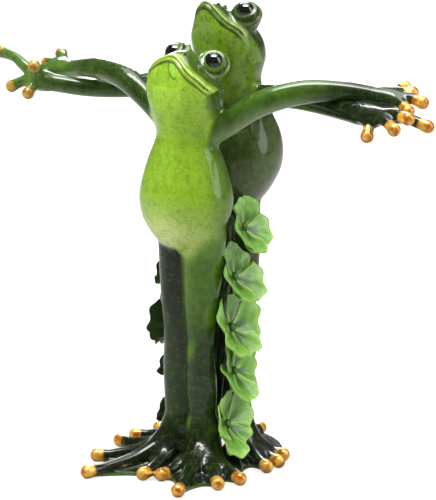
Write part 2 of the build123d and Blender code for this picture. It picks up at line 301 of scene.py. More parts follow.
def sample(clay, points):
    origin = np.array([axis[0] for axis in clay["axes"]])
    field = clay["field"]
    value = valueAt(field, origin, points)
    slope = np.zeros_like(points)
    for axis in range(3):
        step = np.zeros(3)
        step[axis] = clayStep * 0.8
        slope[:, axis] = valueAt(field, origin, points + step) - valueAt(field, origin, points - step)
    slope /= np.linalg.norm(slope, axis=1)[:, None] + 1e-9
    return value, slope


def rise(low, high, value):
    t = np.clip((value - low) / (high - low), 0, 1)
    return t * t * (3 - 2 * t)


def standPiece(name, mesh, material):
    mesh.materials.append(material)
    obj = bpy.data.objects.new(name, mesh)
    bpy.context.scene.collection.objects.link(obj)
    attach(obj, "root")
    return obj


def bandFaces(first, bands, rounds):
    # quads between rings of points that follow each other
    faces = []
    for start in range(first, first + bands * rounds, rounds):
        for k in range(rounds):
            a, b = start + k, start + (k + 1) % rounds
            faces.append((a, a + rounds, b + rounds, b))
    return faces


def pieceFrom(name, points, quads, normals, masks, material):
    # keeps the points in use, closes each seam with a fan, and makes the mesh
    used = np.unique(quads)
    remap = np.full(len(points), -1)
    remap[used] = np.arange(len(used))
    quads = remap[quads]
    p, n = points[used], normals[used]
    a = quads.ravel()
    b = np.roll(quads, -1, 1).ravel()
    forward = a.astype(np.int64) * len(p) + b
    back = b.astype(np.int64) * len(p) + a
    edge = ~np.isin(back, forward)
    follow = {}
    for i, j in zip(a[edge].tolist(), b[edge].tolist()):
        follow.setdefault(i, []).append(j)
    fans = []
    while follow:
        here = start = next(iter(follow))
        loop = [start]
        while here in follow:
            there = follow[here].pop()
            if not follow[here]:
                del follow[here]
            loop.append(there)
            here = there
            if there == start:
                break
        fans += [(j, i, len(p)) for i, j in zip(loop, loop[1:])]
        p = np.vstack([p, p[loop].mean(0)])
        n = np.vstack([n, (0, 0, 1)])
    mesh = bpy.data.meshes.new(name)
    mesh.from_pydata((p * mm).tolist(), [], quads.tolist() + fans)
    mesh.update()
    mesh.shade_smooth()
    mesh.normals_split_custom_set_from_vertices(n.tolist())
    for word, values in masks.items():
        colour = values.ndim > 1
        layer = mesh.attributes.new(word, "FLOAT_COLOR" if colour else "FLOAT", "POINT")
        full = np.zeros((len(p), 4) if colour else len(p), np.float32)
        full[:len(used)] = values[used]
        layer.data.foreach_set("color" if colour else "value", full.ravel())
    return standPiece(name, mesh, material)


# paint: shared node groups first

def link(tree, a, b):
    tree.links.new(a, b)


def addNode(tree, kind, **settings):
    n = tree.nodes.new(kind)
    for key, value in settings.items():
        if key in n.inputs:
            n.inputs[key].default_value = value
        else:
            setattr(n, key, value)
    return n


def mixColour(tree, factor, a, b, how="MIX"):
    n = tree.nodes.new("ShaderNodeMix")
    n.data_type = "RGBA"
    n.blend_type = how
    for name, value in (("Factor_Float", factor), ("A_Color", a), ("B_Color", b)):
        socket = next(s for s in n.inputs if s.identifier == name)
        if hasattr(value, "is_linked"):
            link(tree, value, socket)
        else:
            socket.default_value = value
    return next(s for s in n.outputs if s.identifier == "Result_Color")


def sums(tree, how, a, b):
    n = tree.nodes.new("ShaderNodeMath")
    n.operation = how
    n.use_clamp = how in ("MULTIPLY", "ADD", "SUBTRACT")
    for socket, value in ((n.inputs[0], a), (n.inputs[1], b)):
        if hasattr(value, "is_linked"):
            link(tree, value, socket)
        else:
            socket.default_value = value
    return n.outputs[0]


def remapped(tree, value, low, high, toLow=0.0, toHigh=1.0):
    n = tree.nodes.new("ShaderNodeMapRange")
    n.interpolation_type = "SMOOTHSTEP"
    n.inputs["From Min"].default_value = low
    n.inputs["From Max"].default_value = high
    n.inputs["To Min"].default_value = toLow
    n.inputs["To Max"].default_value = toHigh
    link(tree, value, n.inputs["Value"])
    return n.outputs["Result"]


def layerOf(tree, word, socket):
    n = tree.nodes.new("ShaderNodeAttribute")
    n.attribute_name = word
    return n.outputs[socket]


def newPaint(name):
    m = bpy.data.materials.new(name)
    m.use_nodes = True
    place = addNode(m.node_tree, "ShaderNodeTexCoord").outputs["Object"]
    return m, m.node_tree, m.node_tree.nodes["Principled BSDF"], place


def grouped(tree, group, place):
    n = tree.nodes.new("ShaderNodeGroup")
    n.node_tree = group
    link(tree, place, n.inputs["Vector"])
    return n


def addBump(tree, shader, height, strength, depth):
    bump = addNode(tree, "ShaderNodeBump", Strength=strength, Distance=depth)
    link(tree, height, bump.inputs["Height"])
    link(tree, bump.outputs["Normal"], shader.inputs["Normal"])


def glazeMottle():
    # drifting stains, fine crackle and small bubble rings of a hand-mixed glaze
    g = bpy.data.node_groups.new("glazeMottle", "ShaderNodeTree")
    g.interface.new_socket("Vector", in_out="INPUT", socket_type="NodeSocketVector")
    for word in ("Stains", "Crackle", "Rings", "Height"):
        g.interface.new_socket(word, in_out="OUTPUT", socket_type="NodeSocketFloat")
    start = g.nodes.new("NodeGroupInput")
    end = g.nodes.new("NodeGroupOutput")
    place = start.outputs["Vector"]
    broad = addNode(g, "ShaderNodeTexNoise", Scale=300.0, Detail=4.0, Roughness=0.68, Distortion=0.4)
    fine = addNode(g, "ShaderNodeTexNoise", Scale=420.0, Detail=3.0, Roughness=0.65)
    crack = addNode(g, "ShaderNodeTexVoronoi", feature="DISTANCE_TO_EDGE", Scale=420.0)
    bubble = addNode(g, "ShaderNodeTexVoronoi", feature="F1", Scale=190.0)
    lump = addNode(g, "ShaderNodeTexNoise", Scale=240.0, Detail=2.0)
    for n in (broad, fine, crack, bubble, lump):
        link(g, place, n.inputs["Vector"])

    def together(main):
        return sums(g, "ADD", sums(g, "MULTIPLY", main.outputs["Fac"], 0.7),
                    sums(g, "MULTIPLY", fine.outputs["Fac"], 0.3))
    stains = together(broad)
    link(g, remapped(g, stains, 0.34, 0.66), end.inputs["Stains"])
    veins = remapped(g, crack.outputs["Distance"], 0.0, 0.1, 1.0, 0.0)
    link(g, sums(g, "MULTIPLY", veins, remapped(g, fine.outputs["Fac"], 0.42, 0.66)), end.inputs["Crackle"])
    far = bubble.outputs["Distance"]
    ring = sums(g, "MULTIPLY", remapped(g, far, 0.13, 0.2), remapped(g, far, 0.2, 0.28, 1.0, 0.0))
    chosen = addNode(g, "ShaderNodeSeparateColor")
    link(g, bubble.outputs["Color"], chosen.inputs[0])
    link(g, sums(g, "MULTIPLY", ring, remapped(g, chosen.outputs[0], 0.74, 0.78)), end.inputs["Rings"])
    link(g, together(lump), end.inputs["Height"])
    return g


def hammeredGold():
    # gilt paint over small dents
    g = bpy.data.node_groups.new("hammeredGold", "ShaderNodeTree")
    g.interface.new_socket("Vector", in_out="INPUT", socket_type="NodeSocketVector")
    g.interface.new_socket("Colour", in_out="OUTPUT", socket_type="NodeSocketColor")
    g.interface.new_socket("Height", in_out="OUTPUT", socket_type="NodeSocketFloat")
    start = g.nodes.new("NodeGroupInput")
    end = g.nodes.new("NodeGroupOutput")
    dent = addNode(g, "ShaderNodeTexVoronoi", feature="SMOOTH_F1", Scale=520.0)
    dirt = addNode(g, "ShaderNodeTexNoise", Scale=300.0, Detail=3.0)
    for n in (dent, dirt):
        link(g, start.outputs["Vector"], n.inputs["Vector"])
    colour = mixColour(g, remapped(g, dirt.outputs["Fac"], 0.35, 0.62), tint(190, 112, 26), tint(252, 194, 88))
    link(g, colour, end.inputs["Colour"])
    link(g, dent.outputs["Distance"], end.inputs["Height"])
    return g


mottleGroup = glazeMottle()
goldGroup = hammeredGold()


def lacquered(name, look):
    m, tree, shader, place = newPaint(name)
    shader.inputs["Coat Weight"].default_value = 1
    shader.inputs["Coat Roughness"].default_value = 0.1
    shader.inputs["Coat IOR"].default_value = 1.4
    shader.inputs["Specular IOR Level"].default_value = 0.12
    mottle = grouped(tree, mottleGroup, place)
    body = layerOf(tree, "paint", "Color")
    stained = mixColour(tree, 1.0, body, tint(*look["stain"]), "MULTIPLY")
    lit = mixColour(tree, 1.0, body, tint(*look["glow"]), "ADD")
    worn = mottle.outputs["Stains"]
    body = mixColour(tree, remapped(tree, worn, 0.0, 0.55), stained, body)
    body = mixColour(tree, remapped(tree, worn, 0.6, 1.0, 0.0, 0.8), body, lit)
    for word, share in (("Crackle", look["crackle"]), ("Rings", look["rings"])):
        body = mixColour(tree, sums(tree, "MULTIPLY", mottle.outputs[word], share), body, tint(*look["vein"]))
    gold = grouped(tree, goldGroup, place)
    gilt = layerOf(tree, "gold", "Fac")
    link(tree, mixColour(tree, gilt, body, gold.outputs["Colour"]), shader.inputs["Base Color"])
    link(tree, sums(tree, "MULTIPLY", gilt, 0.5), shader.inputs["Metallic"])
    link(tree, remapped(tree, worn, 0.0, 1.0, 0.3, 0.42), shader.inputs["Roughness"])
    height = sums(tree, "ADD", sums(tree, "MULTIPLY", mottle.outputs["Height"], 0.6),
                  sums(tree, "MULTIPLY", sums(tree, "MULTIPLY", gold.outputs["Height"], gilt), 0.9))
    addBump(tree, shader, height, 0.2, 0.0006)
    return m


# the two frogs

frontFrog = {
    "torso": [(98.4, -10, 0.6, 0.6), (99.2, -10, 4, 3.6), (101, -10, 7.8, 6.8), (106, -10, 13.6, 11.6), (111, -10, 17.4, 15),
              (117, -10, 20.4, 17.8), (125, -10, 21.7, 19.1), (133, -10, 20.5, 18), (143, -10, 17.5, 15.2),
              (153, -10, 13.6, 12.6), (165, -10.2, 12.4, 11.8), (171, -10.4, 12.6, 11.8)],
    "leg": {1: [(6.2, -6, 14, 6.0), (6.1, -6.2, 22, 6.3), (5.9, -7, 39, 7.2), (5.5, -7.2, 56, 6.3), (6.1, -7.5, 75, 7.9),
                (7, -7.8, 92, 9.1), (8, -8.5, 109, 10.4)],
            -1: [(-6.2, -6, 14, 6.2), (-6.1, -6.2, 22, 6.4), (-5.9, -7, 45, 7.0), (-5.8, -7.2, 60, 6.7), (-5.9, -7.5, 80, 7.8),
                 (-6, -8.5, 107, 8.4)]},
    "ankle": (6.2, -6),
    "apron": {1: [(30, -12)], -1: []},
    "toes": {1: [(1.0, -34.5), (19, -50.6), (29.5, -33.5), (34.6, -22.5)],
             -1: [(-6.8, -37.7), (-30, -47.6), (-39.6, -24.2), (-42.6, 0.7)]},
    "arm": {1: [(8, -9, 153, 6.4), (20, -7.5, 160, 5.6), (34, -4.5, 169.2, 5.7), (50, 3, 174.6, 5.5), (65, 11, 175.2, 4.5),
                (80, 19, 172.8, 4.0)],
            -1: [(-8, -9, 157, 5.6), (-20, -7.5, 166.4, 5.1), (-34, -4.5, 175, 5.5), (-50, 3, 177, 5.3),
                 (-65, 11, 175.7, 4.2), (-80, 19, 172.6, 4.0)]},
    "palm": {1: (84, 21, 172.2), -1: (-84, 21, 172.2)},
    "fingers": {1: [(87, 31, 176), (93, 26, 174.6), (101, 19.5, 171.8), (97.3, 13, 168.7)],
                -1: [(-92, 31, 177.6), (-96, 25, 173.8), (-97, 18, 171), (-94, 11.5, 168)]},
    "head": {"hinge": (1.5, -7.7, 173.1), "turn": 3, "tilt": 42.8, "lean": 7.4,
             "wide": 14.1, "blunt": 2.6, "taper": 0.08, "crown": 10.4, "droop": 5.2, "lift": 2, "corner": -1.5, "lid": (9.5, -7, 10.7)},
    "throat": ((0.5, -11.6, 169.5), (13.6, 13.4, 12)),
    "meet": (1, 8.5),
    "neck": 165,
    "box": ((-104, -56, -1.5), (108, 38, 209)),
}
rearFrog = {
    "torso": [(110.2, 30.4, 0.6, 0.6), (111, 30.4, 4.4, 4.8), (113, 30.4, 9, 9.5), (119, 29.8, 15.4, 17.8), (126, 29.8, 20.2, 22),
              (133, 30.2, 23.4, 23.6), (141, 30.6, 24.2, 23.6), (149, 30.8, 22.7, 22), (157, 30.9, 19.2, 18.4),
              (166, 30.4, 15.5, 15.2), (174, 30, 13.2, 13), (181, 29.4, 11.4, 11.2), (186, 29.2, 7.5, 7.5)],
    "leg": {side: [(side * 6.2, 24, 14, 6.2), (side * 6.1, 24.4, 22, 6.5), (side * 5.9, 26.5, 45, 7.3), (side * 5.8, 29, 63, 6.9),
                   (side * 5.8, 32, 90, 7.6), (side * 5.8, 32, 121, 8)] for side in (1, -1)},
    "ankle": (6.2, 24),
    "apron": {1: [(29, -10), (14, -5), (6, 0)], -1: []},
    "toes": {1: [(36.5, -1), (37.5, 8.5), (34.5, 18.5), (5, 50.6)], -1: [(-41, 12), (-37, 27), (-27, 40), (-12, 50.6)]},
    "arm": {1: [(8, 31.5, 163, 6.2), (22, 30, 167, 5.6), (36, 26, 168, 5.4), (50, 20, 167.6, 4.9), (65, 12, 167.2, 4.6),
                (78, 5, 167, 4.8)],
            -1: [(-8, 31.5, 163, 6.2), (-22, 30, 168.5, 5.6), (-36, 26, 169, 5.4), (-50, 20, 166.8, 4.9),
                 (-65, 12, 166.3, 4.1), (-78, 5, 168.4, 4.1)]},
    "palm": {1: (85, 2.5, 166.8), -1: (-85, 2, 169.6)},
    "fingers": {1: [(87.6, -7, 160), (101.7, -10, 164.5), (105.3, -4, 168.6), (110, 6, 164.1)],
                -1: [(-110, 8, 180.3), (-80.5, -9.5, 178), (-98, -2, 166.4), (-85, -8, 165)]},
    "head": {"hinge": (2, 24.8, 190.2), "turn": 26, "tilt": 51.5, "lean": -11,
             "wide": 12.4, "blunt": 2.2, "taper": 0.38, "crown": 6.5, "droop": 3.8, "lift": 1.4, "corner": -5, "lid": (10, -7, 9.2)},
    "throat": ((0.8, 29.6, 185.5), (14.6, 15.4, 13.5)),
    "meet": (-1, 8.5),
    "neck": 174,
    "box": ((-116, -16, -1.5), (116, 60, 222)),
}
toeShape = {"root": 5.4, "middle": 3.8, "neck": 2.7, "bulb": 3.1, "blend": 4.0}
webShape = {"share": 0.9, "hollow": 0.15, "edge": 1.9, "rise": 8.5}
handShape = {"palm": (6.2, 6.2, 4.2), "root": 3.1, "middle": 2.5, "bulb": 2.95, "blend": 2.6}
headShape = {
    "middle": -7, "long": 15.1, "jaw": 8.4, "throatMelt": 14, "press": 8,
    "lipOut": 0.3, "lipTube": 0.95, "lipLift": 0.9, "lipMelt": 0.8, "groove": 0.5,
    "lidBall": 6.6, "lidMelt": 4, "gaze": (0.42, -0.9, 0.05),
    "rings": [(3.9, 4.8, 1.1, 0.6), (1.0, 6.4, 1.0, 0.9)],   # out along the gaze, radius, tube, melt
    "bead": 4.4, "beadOut": 3.3, "dip": 0.8,   # the bead dips into its lid
    "nostril": (2.9, -19.2, 5.6, 0.8),
}


def headAxes(pose):
    turn, tilt, lean = (math.radians(pose[k]) for k in ("turn", "tilt", "lean"))
    level = np.array([math.cos(turn), -math.sin(turn), 0])
    crown = np.array([math.sin(turn) * math.sin(tilt), math.cos(turn) * math.sin(tilt), math.cos(tilt)])
    across = level * math.cos(lean) - crown * math.sin(lean)
    up = level * math.sin(lean) + crown * math.cos(lean)
    return np.array([across, np.cross(up, across), up])


def inHead(pose, x, y, z):
    axes = headAxes(pose)
    ox, oy, oz = pose["hinge"]
    return [(x - ox) * a[0] + (y - oy) * a[1] + (z - oz) * a[2] for a in axes]


def lidSpots(pose, side):
    s = headShape
    lid = np.array([side * pose["lid"][0], pose["lid"][1], pose["lid"][2]])
    look = np.array([side * s["gaze"][0], s["gaze"][1], s["gaze"][2]])
    look /= np.linalg.norm(look)
    return lid, look


def ringForm(u, v, w, centre, axis, radius, tube):
    du, dv, dw = u - centre[0], v - centre[1], w - centre[2]
    along = du * axis[0] + dv * axis[1] + dw * axis[2]
    out = np.sqrt(np.maximum(du ** 2 + dv ** 2 + dw ** 2 - along ** 2, 0))
    return np.sqrt((out - radius) ** 2 + along ** 2) - tube


def snoutPlan(pose, u, v, grow):
    # 1 on the outline of the mouth seen from above, and how steeply that grows outwards
    s = headShape
    a, b, p = pose["wide"] + grow, s["long"] + grow, pose["blunt"]
    a = a * (1 - pose["taper"] * rise(7, 21, -v))
    across, along = np.abs(u) / a, np.abs(v - s["middle"]) / b
    k = (across ** p + along ** p + 1e-9) ** (1 / p)
    return k, np.sqrt((across ** (p - 1) / a) ** 2 + (along ** (p - 1) / b) ** 2) * k ** (1 - p)


def mouthEdge(pose, u, v, grow):
    k, slope = snoutPlan(pose, u, v, grow)
    return (k - 1) / np.maximum(slope, 0.01)


def mouthLine(pose, u, v):
    # height of the mouth line over its plane: a beak in the middle, drooping sides, corners a little up again
    back = pose["corner"] - 0.5
    return 1.6 - pose["droop"] * rise(0, 12, np.abs(u)) + pose["lift"] * rise(back - 10, back, v)


def addHead(clay, frog):
    s = headShape
    pose = frog["head"]
    reach = 34
    hinge = np.array(pose["hinge"], float)
    cuts, x, y, z = window(clay, hinge - (reach, reach, 20), hinge + (reach, reach, reach))
    u, v, w = (c.astype(np.float32) for c in inHead(pose, x, y, z))
    centre, radii = frog["throat"]
    form = ballForm(x - centre[0], y - centre[1], z - centre[2], radii)
    lip = w - mouthLine(pose, u, v)
    k, slope = snoutPlan(pose, u, v, 0)
    deep = np.where(lip < 0, s["jaw"], pose["crown"])
    k0 = np.sqrt(k ** 2 + (lip / deep) ** 2)
    skull = k0 * (k0 - 1) / (np.sqrt((k * slope) ** 2 + (lip / deep ** 2) ** 2) + 1e-6)
    form = melt(form, skull, s["throatMelt"])
    corner = rise(pose["corner"] - 1, pose["corner"] + 4, v)   # the lips run out behind the corners of the mouth
    for lift in (-1, 1):
        edge = mouthEdge(pose, u, v, s["lipOut"])
        tube = np.sqrt(edge ** 2 + (lip - lift * s["lipLift"]) ** 2) - s["lipTube"] + 1.6 * corner
        form = melt(form, tube, s["lipMelt"])
    for side in (1, -1):
        lid, look = lidSpots(pose, side)
        ball = np.sqrt((u - lid[0]) ** 2 + (v - lid[1]) ** 2 + (w - lid[2]) ** 2) - s["lidBall"]
        form = melt(form, ball, s["lidMelt"])
        for out, radius, tube, soft in s["rings"]:
            form = melt(form, ringForm(u, v, w, lid + look * out, look, radius, tube), soft)
    press(clay, cuts, form, s["press"])
    groove = np.sqrt(mouthEdge(pose, u, v, s["lipOut"] + s["lipTube"]) ** 2 + lip ** 2) - s["groove"] + 2 * corner
    carve(clay, cuts, groove)
    for side in (1, -1):
        lid, look = lidSpots(pose, side)
        bead = lid + look * s["beadOut"]
        carve(clay, cuts, np.sqrt((u - bead[0]) ** 2 + (v - bead[1]) ** 2 + (w - bead[2]) ** 2) - s["bead"] + s["dip"])
        nu, nv, nw, hole = s["nostril"]
        carve(clay, cuts, np.sqrt((u - side * nu) ** 2 + (v - nv) ** 2 + (w - nw) ** 2) - hole)


def toePath(ankle, tip):
    s = toeShape
    foot = np.array([ankle[0], ankle[1]])
    run = np.array(tip) - foot
    def at(share, z, r):
        return (*(foot + run * share), z, r)
    return [at(0.0, 19, s["root"]), at(0.13, 11.5, s["root"]), at(0.42, 5.8, s["middle"]), at(0.78, 3.3, s["neck"]),
            at(0.93, 2.95, s["bulb"] * 0.93), at(1.0, 2.9, s["bulb"])]


def addFoot(clay, frog, side):
    s = webShape
    ax, ay = side * frog["ankle"][0], frog["ankle"][1]
    tips = np.array(frog["toes"][side], float)
    for tip in tips:
        addLimb(clay, toePath((ax, ay), tip), toeShape["blend"])
    arms = np.array(frog["toes"][side] + frog["apron"][side], float) - (ax, ay)
    middle = math.atan2(*arms.mean(0)[::-1])
    turn = (np.arctan2(arms[:, 1], arms[:, 0]) - middle + math.pi) % (2 * math.pi) - math.pi
    order = np.argsort(turn)
    turn, far = turn[order], np.linalg.norm(arms, axis=1)[order] * s["share"]
    steps = np.linspace(0, 1, 24)
    angle, rim = [turn[0] - 0.3], [0]
    for i in range(len(turn) - 1):
        angle += list(turn[i] + (turn[i + 1] - turn[i]) * steps)
        rim += list((far[i] + (far[i + 1] - far[i]) * steps) * (1 - s["hollow"] * np.sin(math.pi * steps)))
    angle.append(turn[-1] + 0.3)
    rim.append(0)
    low = np.append(np.minimum(tips.min(0), (ax, ay)) - 6, -2)
    high = np.append(np.maximum(tips.max(0), (ax, ay)) + 6, 22)
    cuts, x, y, z = window(clay, low, high)
    at = (np.arctan2(y - ay, x - ax) - middle + math.pi) % (2 * math.pi) - math.pi
    out = np.sqrt((x - ax) ** 2 + (y - ay) ** 2)
    edge = np.interp(at, angle, rim)
    share = np.clip(1 - out / np.maximum(edge, 1), 0, 1)
    top = s["edge"] + s["rise"] * share ** 1.6
    press(clay, cuts, np.maximum((out - edge) * 0.8, (z - top) * 0.8), 2.2)


def addHand(clay, frog, side):
    s = handShape
    palm = np.array(frog["palm"][side], float)
    arm = np.array(frog["arm"][side], float)
    wrist = arm[-1, :3]
    run = palm - arm[-2, :3]
    run /= np.linalg.norm(run)
    up = np.array([0, 0, 1.0])
    across = np.cross(up, run)
    across /= np.linalg.norm(across)
    up = np.cross(run, across)
    cuts, x, y, z = window(clay, palm - 12, palm + 12)
    d = [x - palm[0], y - palm[1], z - palm[2]]
    u, v, w = (d[0] * a[0] + d[1] * a[1] + d[2] * a[2] for a in (run, across, up))
    press(clay, cuts, ballForm(u, v, w, s["palm"]), 3)
    for tip in frog["fingers"][side]:
        tip = np.array(tip, float)
        reach = tip - palm
        bow = np.array([0, 0, 0.08 * np.linalg.norm(reach)])
        path = [(*(wrist * 0.4 + palm * 0.6), s["root"]), (*(palm + reach * 0.3 + bow * 0.6), s["root"] * 0.95),
                (*(palm + reach * 0.62 + bow), s["middle"]), (*(palm + reach * 0.86 + bow * 0.4), s["bulb"] * 0.86),
                (*tip, s["bulb"])]
        addLimb(clay, path, s["blend"], 6)


def modelFrog(frog):
    clay = newClay(*frog["box"])
    addTorso(clay, frog["torso"], 3)
    way, meet = frog["meet"]
    flat = (clay["axes"][1] - meet) * way
    clay["field"][:] = np.maximum(clay["field"], flat[None, :, None].astype(np.float32))
    addHead(clay, frog)
    for side in (1, -1):
        addLimb(clay, frog["arm"][side], 3.5)
        addHand(clay, frog, side)
    for side in (1, -1):
        addLimb(clay, frog["leg"][side], 1.4)
        addFoot(clay, frog, side)
    clay["field"][:] = np.maximum(clay["field"], -clay["axes"][2][None, None, :])
    points, quads = skinOf(clay)
    points = settle(clay, points, quads, 3)
    points[:, 2] = np.maximum(points[:, 2], 0)
    return clay, points, quads


def goldTips(frog, points):
    gold = np.zeros(len(points))
    for side in (1, -1):
        spots = [((x, y, 2.9), 3.6) for x, y in frog["toes"][side]]
        spots += [(tip, 4.2 if side > 0 else 2.5) for tip in frog["fingers"][side]]
        for spot, reach in spots:
            far = np.linalg.norm(points - np.array(spot), axis=1)
            gold = np.maximum(gold, 1 - rise(reach, reach + 1, far))
    return gold


def drift(points, size, seed):
    # slow patches over the skin, between -1 and 1
    a, b, c = (points / size).T
    k = seed * 1.7
    return (np.sin(a * 2.1 + np.sin(b * 1.7 + k) * 1.6 + k) * np.sin(c * 1.9 + np.sin(a * 1.3 - k) * 1.4)
            + np.sin(b * 2.7 - c * 1.1 + k * 2) * 0.6) / 1.6


def brush(paint, colour, share):
    paint += (np.array(tint(*colour)) - paint) * np.clip(share, 0, 1)[:, None]


def paintSkin(frog, look, points, normals):
    x, y, z = points.T
    nx, ny, nz = normals.T
    wide = np.abs(x)
    paint = np.tile(np.array(tint(*look["breast"])), (len(points), 1))
    pose = frog["head"]
    u, v, w = inHead(pose, x, y, z)
    lip = w - mouthLine(pose, u, v)
    skull = (z > frog["neck"] + 3 + 1.2 * np.maximum(wide - 12, 0)) & (wide < 22)
    brush(paint, look["chin"], rise(frog["neck"] - 14, frog["neck"] + 4, z))
    throat = rise(frog["neck"] - 13, frog["neck"] - 3, z)
    # the flanks turned away from the light, most of all on the right, are darkened: painted shade
    brush(paint, look["flankShade"], (1 - 0.65 * throat) * rise(0.1, 0.85, 0.87 * nx + 0.5 * ny))
    brush(paint, look["flankShade"], 0.35 * rise(0.45, 1.0, -0.87 * nx - 0.5 * ny))
    # surfaces facing backwards are darker: partly the figure's own darker back paint, partly painted shade
    brush(paint, look["back"], rise(-0.1, 0.6, ny))
    low = frog["torso"][2][0]
    brush(paint, look["belly"], 0.9 * np.exp(-(((x + 1) / 16) ** 2 + ((z - low - 9) / 10) ** 2)) * rise(0, 0.6, -ny))
    brush(paint, look["crown"], skull * rise(2.0, 4.2, lip))
    for side in (1, -1):
        lid, gaze = lidSpots(pose, side)
        far = np.sqrt((u - lid[0]) ** 2 + (v - lid[1]) ** 2 + (w - lid[2]) ** 2)
        brush(paint, look["lid"], skull * 0.8 * (1 - rise(6.2, 8.5, far)))
        along = (u - lid[0]) * gaze[0] + (v - lid[1]) * gaze[1] + (w - lid[2]) * gaze[2]
        out = np.sqrt(np.maximum(far ** 2 - along ** 2, 0))
        nearLid = skull * (1 - rise(8, 9, far))
        # a dark ring in the crease round each lid is painted shade, and a faint pale ring on the outer rim is a painted
        # highlight
        brush(paint, look["darkLineAndShade"], 0.85 * nearLid * rise(0, 1.5, along) * np.exp(-((out - 6.0) / 0.4) ** 2))
        brush(paint, look["paintedHighlight"], 0.15 * nearLid * rise(-0.5, 1, along) * np.exp(-((out - 6.9) / 0.5) ** 2))
    edge = np.abs(mouthEdge(pose, u, v, 0.6))
    nearLip = skull * (1 - rise(1.4, 2.6, edge)) * (1 - rise(pose["corner"] - 1, pose["corner"] + 3, v))
    brush(paint, look["lip"], nearLip * (1 - rise(1.6, 2.2, np.abs(lip))))
    # a pale stroke along the upper lip is a painted highlight, and the dark stroke under the lower lip is a painted
    # shadow
    brush(paint, look["paintedHighlight"], 0.8 * nearLip * np.exp(-((lip - 1.3) / 0.4) ** 2))
    brush(paint, look["darkLineAndShade"], 0.95 * nearLip * np.exp(-((lip + 2.1) / 0.4) ** 2))
    brush(paint, look["darkLineAndShade"], 0.8 * nearLip * (1 - rise(0.15, 0.5, np.abs(lip))))
    if "mark" in look:   # a bright dab under the tip of the snout, with a short dark stroke round it
        along, across = (u - 2.4 - w - 3.4) / 1.414, (u - 2.4 + w + 3.4) / 1.414
        spot = np.sqrt((along / 3.5) ** 2 + (across / 1.9) ** 2)
        tip = skull * (v < -14)
        brush(paint, look["mark"], tip * (1 - rise(0.7, 1.0, spot)))
        brush(paint, look["darkLineAndShade"], 0.75 * tip * np.exp(-((spot - 1.08) / 0.14) ** 2) * rise(-0.3, 0.7, -across))
    root = 12.8 + 1.8 * throat * (ny < 0.3)   # the arm's dark paint starts further out beside the throat
    arms = rise(root, root + 3.4, wide) * rise(frog["neck"] - 20, frog["neck"] - 12, z) * ~skull
    brush(paint, look["arm"], arms)
    brush(paint, look["armLit"], 0.8 * arms * (x > 0))
    brush(paint, look["darkLineAndShade"], 0.55 * arms * rise(0.15, 0.7, drift(points, 8, 5)))
    brush(paint, look["hand"], 0.9 * arms * rise(48, 74, wide) * (x > 0))
    brush(paint, look["palm"], 0.8 * arms * rise(60, 84, wide) * (x < 0))
    # the undersides of the arms are painted pale grey-green: a painted reflection of the pale floor
    underReflection = np.where(x > 0, 0.95 * (1 - rise(46, 66, wide)), 0.5 + 0.4 * rise(45, 65, wide))
    brush(paint, look["armUnderReflection"], arms * underReflection * rise(0.05, 0.85, -nz))
    hem = low + 3 + 10 * rise(3, 21, wide) + 5 * rise(-0.5, 0.6, ny)
    soft = np.where(x > 0, 10, 2.5)
    leg = 1 - rise(hem - soft, hem + 1.5, z)
    brush(paint, look["legOuter"], leg * (x < 0))
    brush(paint, look["legInner"], leg * (x >= 0))
    brush(paint, look["shin"], leg * (1 - rise(low - 52, low - 12, z)))
    brush(paint, look["moss"], 0.6 * leg * (x > 0.5) * (wide < 20) * rise(0.25, 0.8, drift(points, 9, 2)))
    # a dark strip down the crease between the legs: painted shade
    brush(paint, look["darkLineAndShade"], 0.8 * leg * (ny < 0.2) * (1 - rise(0.4, 1.1, wide)))
    brush(paint, look["foot"], 1 - rise(14, 24, z))
    brush(paint, look["sole"], 0.8 * (1 - rise(0.8, 2.0, z)))
    return paint


skinLooks = {
    "front": {"mark": (146, 208, 66), "breast": (140, 181, 40), "chin": (156, 199, 50), "flankShade": (92, 126, 34), "back": (42, 62, 20),
              "belly": (214, 228, 144),
              "crown": (62, 88, 20), "lid": (92, 124, 34), "lip": (150, 186, 52), "paintedHighlight": (220, 234, 150), "darkLineAndShade": (30, 40, 10),
              "arm": (42, 69, 15), "armLit": (68, 104, 24), "hand": (22, 36, 12), "palm": (78, 110, 38),
              "armUnderReflection": (130, 152, 104), "legOuter": (15, 27, 10), "legInner": (70, 108, 20), "shin": (34, 52, 20),
              "foot": (16, 26, 9), "sole": (100, 142, 56), "moss": (96, 136, 36),
              "stain": (222, 228, 202), "glow": (50, 50, 12), "vein": (62, 92, 18), "crackle": 0.5, "rings": 0.25},
    "rear": {"breast": (60, 78, 28), "chin": (118, 156, 36), "flankShade": (78, 96, 48), "back": (40, 56, 22), "belly": (84, 106, 48),
             "crown": (50, 72, 18), "lid": (66, 92, 26), "lip": (96, 128, 36), "paintedHighlight": (196, 212, 140), "darkLineAndShade": (26, 34, 8),
             "arm": (42, 68, 16), "armLit": (32, 52, 14), "hand": (20, 32, 11), "palm": (84, 118, 42),
             "armUnderReflection": (112, 138, 80), "legOuter": (34, 46, 24), "legInner": (44, 62, 26), "shin": (34, 46, 22),
             "foot": (16, 26, 9), "sole": (94, 134, 54), "moss": (62, 86, 30),
             "stain": (196, 204, 170), "glow": (46, 48, 12), "vein": (26, 40, 10), "crackle": 0.5, "rings": 0.2},
}

